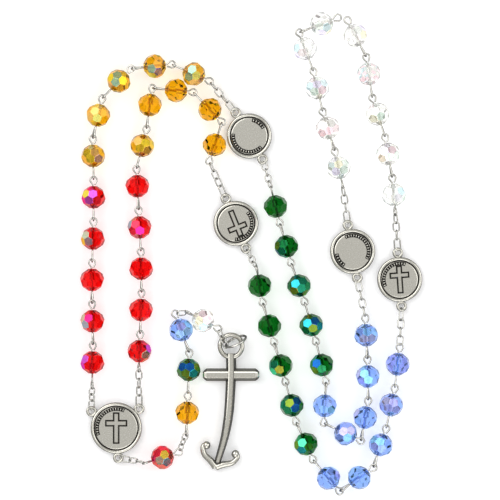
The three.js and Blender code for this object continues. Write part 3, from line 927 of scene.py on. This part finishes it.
def arc_plate(inner, outer, start, end, low, high):
    """A flat plate between two radii over an arc, in degrees."""
    steps = max(int(abs(end - start) / 5), 2)
    outline = []
    for k in range(steps + 1):
        angle = math.radians(start + (end - start) * k / steps)
        outline.append((outer * math.cos(angle), outer * math.sin(angle)))
    for k in range(steps, -1, -1):
        angle = math.radians(start + (end - start) * k / steps)
        outline.append((inner * math.cos(angle), inner * math.sin(angle)))
    vertices = [Vector((x, y, height)) for height in (low, high) for x, y in outline]
    count = len(outline)
    faces = grid_faces(2, count, False)
    for k in range(steps):
        a, b, c, d = k, k + 1, count - 2 - k, count - 1 - k
        faces.append([count + a, count + b, count + c, count + d])
        faces.append([d, c, b, a])
    return vertices, faces


def add_border(shape, radius, start, end):
    """A dark band over an arc, with a row of grains on it that point to the middle."""
    middle = radius - BORDER_INSET - BORDER_WIDTH / 2
    plate = arc_plate(middle - BORDER_WIDTH / 2, middle + BORDER_WIDTH / 2, start, end,
                      MEDAL_FIELD - FIELD_ROOT, MEDAL_FIELD + BORDER_RISE)
    shape.add(plate, material=1, smooth=False)
    count = int(math.radians(end - start) * middle / GRAIN_STEP)
    for k in range(count):
        angle = math.radians(start) + (k + 0.5) * math.radians(end - start) / count
        height = MEDAL_FIELD + GRAIN_RISE
        place = Vector((middle * math.cos(angle), middle * math.sin(angle), height))
        turn = Matrix.Translation(place) @ Matrix.Rotation(angle, 4, "Z")
        shape.add(ball((0, 0, 0), GRAIN_RADII, 10, 6), matrix=turn)


def cross_outline(length, width, arm_level, arm_half, grow):
    """A Latin cross with its head towards +Y, as an outline that can be grown all round."""
    half = width / 2 + grow
    top = length / 2 + grow
    foot = -length / 2 - grow
    high = arm_level + half
    low = arm_level - half
    side = arm_half + grow
    return [(-half, foot), (half, foot), (half, low), (side, low), (side, high), (half, high),
            (half, top), (-half, top), (-half, high), (-side, high), (-side, low), (-half, low)]


def add_emblem(shape, radius, up_angle):
    """A plain raised Latin cross in a dark surround."""
    turn = Matrix.Rotation(math.radians(up_angle - 90), 4, "Z")
    sizes = [radius * share for share in EMBLEM_SHARES]
    root = MEDAL_FIELD - FIELD_ROOT
    surround = prism(cross_outline(*sizes, EMBLEM_SURROUND), root,
                     MEDAL_FIELD + EMBLEM_SURROUND_RISE)
    shape.add(surround, 1, False, turn)
    cross = prism(cross_outline(*sizes, 0), root, MEDAL_FIELD + EMBLEM_RISE, EMBLEM_BEVEL)
    shape.add(cross, 0, False, turn)


def medal_place(node):
    """A strand medal's middle and the direction from its first lug to its second one."""
    chain_direction = joint_direction(node)
    first_lug = lug_point(pivot_of(node), chain_direction, 1)
    next_node = children[node][0]
    second_direction = joint_direction(next_node)
    second_lug = lug_point(pivot_of(next_node), second_direction, -1)
    return (first_lug + second_lug) / 2, (second_lug - first_lug).normalized()


def add_strand_medal(node, has_emblem, arcs):
    """A medal with a lug at each end, whose head points along the strand."""
    centre, along = medal_place(node)
    heading = math.degrees(math.atan2(along.y, along.x))
    add_medal(node, (along, -along), centre, MEDAL_RADIUS, heading, has_emblem, arcs)


def add_centre_medal():
    node = "centre_medal"
    lugs = [lug_point(pivot_of(child), joint_direction(child), -1) for child in children[node]]
    centre = centre_from_lugs(lugs)
    directions = [(lug - plan(centre, LUG_HEIGHT)).normalized() for lug in lugs]
    add_medal(node, directions, centre, CENTRE_MEDAL_RADIUS, 90, True, FRONT_BORDERS)


def centre_from_lugs(lugs):
    """The middle of the circle through three lugs."""
    a, b, c = [Vector((lug.x, lug.y)) for lug in lugs]
    area = 2 * (a.x * (b.y - c.y) + b.x * (c.y - a.y) + c.x * (a.y - b.y))
    squares = (a.length_squared, b.length_squared, c.length_squared)
    x = sum(square * side for square, side in zip(squares, (b.y - c.y, c.y - a.y, a.y - b.y)))
    y = sum(square * side for square, side in zip(squares, (c.x - b.x, a.x - c.x, b.x - a.x)))
    return Vector((x / area, y / area, 0))


# ---- the anchor cross, measured from the middle of its cast ring ----

CAST_RING_RADIUS = 3.8
CAST_RING_WIRE = 0.8
CAST_RING_HEIGHT = 2.3
SHAFT_LINE = [(0, -2.6), (0, -9.8), (-0.6, -21), (-1.5, -27.8), (-2.7, -33.1), (-4.6, -39.4)]
SHAFT_HALF_WIDTHS = [1.7, 1.72, 1.65, 1.5, 1.32, 1.1]
ARM_LEVEL = -9.8
ARM_HALF_LENGTH = 9.6
ARM_HALF_WIDTH = 2.15
ARM_HEIGHT_SHARE = 0.94
# The arm's ends: how far from each end, and how wide it is there, as a share of its full width.
# Its height shrinks less, by END_HEIGHT_GAIN, towards END_MIDDLE_HEIGHT.
ARM_ENDS = [(0, 0.45), (0.5, 0.72), (1.3, 1.0)]
END_HEIGHT_GAIN = 0.15
END_MIDDLE_HEIGHT = 1.7
FLUKE_HEIGHT = 1.45
FLUKE_LINE = [(-0.9, 0), (0.75, 2.2), (2.2, 4.9), (4.3, 6.1), (5.6, 5.9)]
FLUKE_RADII = [1.15, 1.15, 1.0, 0.85, 0.7]
KNOB_PLACE = (5.4, 5.1)
KNOB_RADII = (1.4, 1.3, 1.35)
CROWN = (-5, -40.4)
CROWN_HEADING = 73
BAR_SECTION = [(-0.72, 0.0), (0.72, 0.0), (1.0, 0.6), (1.0, 1.3), (0.6, 3.05), (0.52, 3.38),
               (0.34, 3.2), (-0.34, 3.2), (-0.52, 3.38), (-0.6, 3.05), (-1.0, 1.3), (-1.0, 0.6)]


def spread_along(values):
    """Values between given ones, as many as curve_through() makes points."""
    spread = []
    for a, b in zip(values, values[1:]):
        spread += [a + (b - a) * k / CURVE_STEPS for k in range(CURVE_STEPS)]
    return spread + [values[-1]]


def add_cross():
    """The pendant: a bevelled bar cross with a cast ring above and an anchor's flukes below."""
    shape = Shape()
    shaft = curve_through([Vector((x, y, 0)) for x, y in SHAFT_LINE])
    shape.add(bar(shaft, spread_along(SHAFT_HALF_WIDTHS), BAR_SECTION), smooth=False)
    shape.add(arm_mesh(), smooth=False)
    torus = ring(CAST_RING_RADIUS, CAST_RING_WIRE, 48)
    shape.add(torus, matrix=Matrix.Translation((0, 0, CAST_RING_HEIGHT)))
    turn = Matrix.Translation((*CROWN, 0)) @ Matrix.Rotation(math.radians(CROWN_HEADING), 4, "Z")
    for side in (-1, 1):
        add_fluke(shape, side, turn)
    node = "anchor_cross"
    place = plan(pivot_of(node), 0) + Vector((*CAST_RING_FROM_PIVOT, 0))
    shape.vertices = [vertex + place for vertex in shape.vertices]
    finish_piece(f"{node}_cast", shape, [CAST, PATINA], node, (node,))


def arm_mesh():
    """The crossbar, whose ends slope in to small faces."""
    ends = [(inset - ARM_HALF_LENGTH, share) for inset, share in ARM_ENDS]
    ends += [(ARM_HALF_LENGTH - inset, share) for inset, share in reversed(ARM_ENDS)]
    points = [Vector((x, ARM_LEVEL, 0)) for x, _ in ends]
    section = [(across, height * ARM_HEIGHT_SHARE) for across, height in BAR_SECTION]
    vertices, faces = bar(points, [ARM_HALF_WIDTH] * len(ends), section)
    count = len(section)
    for i, (_, share) in enumerate(ends):
        height_share = min(share + END_HEIGHT_GAIN, 1)
        for vertex in vertices[i * count:(i + 1) * count]:
            vertex.y = ARM_LEVEL + (vertex.y - ARM_LEVEL) * share
            vertex.z = END_MIDDLE_HEIGHT + (vertex.z - END_MIDDLE_HEIGHT) * height_share
    return vertices, faces


def add_fluke(shape, side, turn):
    """One curved arm of the anchor, with a round knob at its end."""
    line = curve_through([Vector((x, side * y, FLUKE_HEIGHT)) for x, y in FLUKE_LINE])
    shape.add(tube(line, spread_along(FLUKE_RADII), 12), matrix=turn)
    knob = (KNOB_PLACE[0], side * KNOB_PLACE[1], FLUKE_HEIGHT)
    shape.add(ball(knob, KNOB_RADII, 18, 12), matrix=turn)


def add_jump_ring():
    """The ring that leans in the cast ring and holds it to the chain."""
    turn = Matrix.Rotation(math.radians(JUMP_RING_HEADING), 4, "Z")
    turn = turn @ Matrix.Rotation(math.radians(-JUMP_RING_LEAN), 4, "X")
    shape = Shape().add(ring(JUMP_RING_RADIUS, JUMP_RING_WIRE, 48),
                        matrix=Matrix.Translation(jump_ring_centre()) @ turn)
    finish_piece("jump_ring", shape, [WIRE], "pendant_clear_bead")


# ---- the set, in metres ----

FLOOR_HALF_SIZE = 3.0
# A little below the beads, so that the floor and the medals' backs don't lie in one plane.
FLOOR_HEIGHT = -0.00016
FLOOR_COLOUR = (0.95, 0.95, 0.95)
FLOOR_ROUGHNESS = 0.9
FLOOR_GLOW = 0.14
CAMERA_DISTANCE = 1.2
CAMERA_PLACE = (-0.00048, 0.00142)
VIEW_WIDTH = 0.1695
SENSOR_WIDTH = 36
# Each light's place, size and energy.
LIGHTS = {
    "key": ((-0.75, 0.65, 0.9), 1.3, 11),
    "fill": ((0.95, 0.2, 0.8), 1.0, 5.2),
    "low": ((0.1, -1.0, 0.7), 1.0, 5.2),
}


def add_floor():
    """A large pale square that glows slightly, which keeps it near white."""
    floor_mesh = bpy.data.meshes.new("floor")
    signs = [(-1, -1), (1, -1), (1, 1), (-1, 1)]
    corners = [(x * FLOOR_HALF_SIZE, y * FLOOR_HALF_SIZE, FLOOR_HEIGHT) for x, y in signs]
    floor_mesh.from_pydata(corners, [], [[0, 1, 2, 3]])
    floor_mesh.materials.append(floor_material())
    floor = bpy.data.objects.new("floor", floor_mesh)
    bpy.context.scene.collection.objects.link(floor)


def add_world():
    """A pale studio all round, darker towards the horizon so that bevels and edges show."""
    world = bpy.data.worlds.new("studio")
    bpy.context.scene.world = world
    world.use_nodes = True
    nodes, links = world.node_tree.nodes, world.node_tree.links
    nodes.clear()
    output = nodes.new("ShaderNodeOutputWorld")
    background = nodes.new("ShaderNodeBackground")
    coordinates = nodes.new("ShaderNodeTexCoord")
    parts = nodes.new("ShaderNodeSeparateXYZ")
    ramp = nodes.new("ShaderNodeValToRGB")
    ramp.color_ramp.elements[0].position = 0.15
    ramp.color_ramp.elements[0].color = (0.09, 0.09, 0.09, 1)
    ramp.color_ramp.elements[1].position = 0.95
    ramp.color_ramp.elements[1].color = (0.62, 0.62, 0.62, 1)
    links.new(coordinates.outputs["Generated"], parts.inputs["Vector"])
    links.new(parts.outputs["Z"], ramp.inputs["Fac"])
    links.new(ramp.outputs["Color"], background.inputs["Color"])
    links.new(background.outputs["Background"], output.inputs["Surface"])
    background.inputs["Strength"].default_value = 1.0


def add_area_light(name, place, size, energy):
    """A square soft light that points at the object's middle."""
    light = bpy.data.lights.new(name, "AREA")
    light.size = size
    light.energy = energy
    lamp = bpy.data.objects.new(name, light)
    lamp.location = place
    lamp.rotation_euler = (-Vector(place)).to_track_quat("-Z", "Y").to_euler()
    bpy.context.scene.collection.objects.link(lamp)


def add_camera():
    """Straight above, with a long lens."""
    camera_data = bpy.data.cameras.new("camera")
    camera_data.sensor_width = SENSOR_WIDTH
    camera_data.lens = SENSOR_WIDTH * CAMERA_DISTANCE / VIEW_WIDTH
    camera_data.clip_end = 10
    camera = bpy.data.objects.new("camera", camera_data)
    camera.location = (*CAMERA_PLACE, CAMERA_DISTANCE + STRAND_HEIGHT * MM)
    bpy.context.scene.collection.objects.link(camera)
    bpy.context.scene.camera = camera


add_camera()
add_floor()
add_world()
for light_name, (light_place, light_size, light_energy) in LIGHTS.items():
    add_area_light(light_name, light_place, light_size, light_energy)
bpy.context.scene.view_settings.view_transform = "Standard"

for bead_node in frame["nodes"]:
    if "bead_" in bead_node or bead_node.endswith("_bead"):
        add_bead_unit(bead_node)
add_pair("pendant_amber_green_beads")
add_centre_medal()
for number in (1, 2):
    add_strand_medal(f"left_medal_{number}", False, BACK_BORDERS)
for number in (1, 2):
    add_strand_medal(f"right_medal_{number}", True, FRONT_BORDERS)
add_cross()
add_jump_ring()
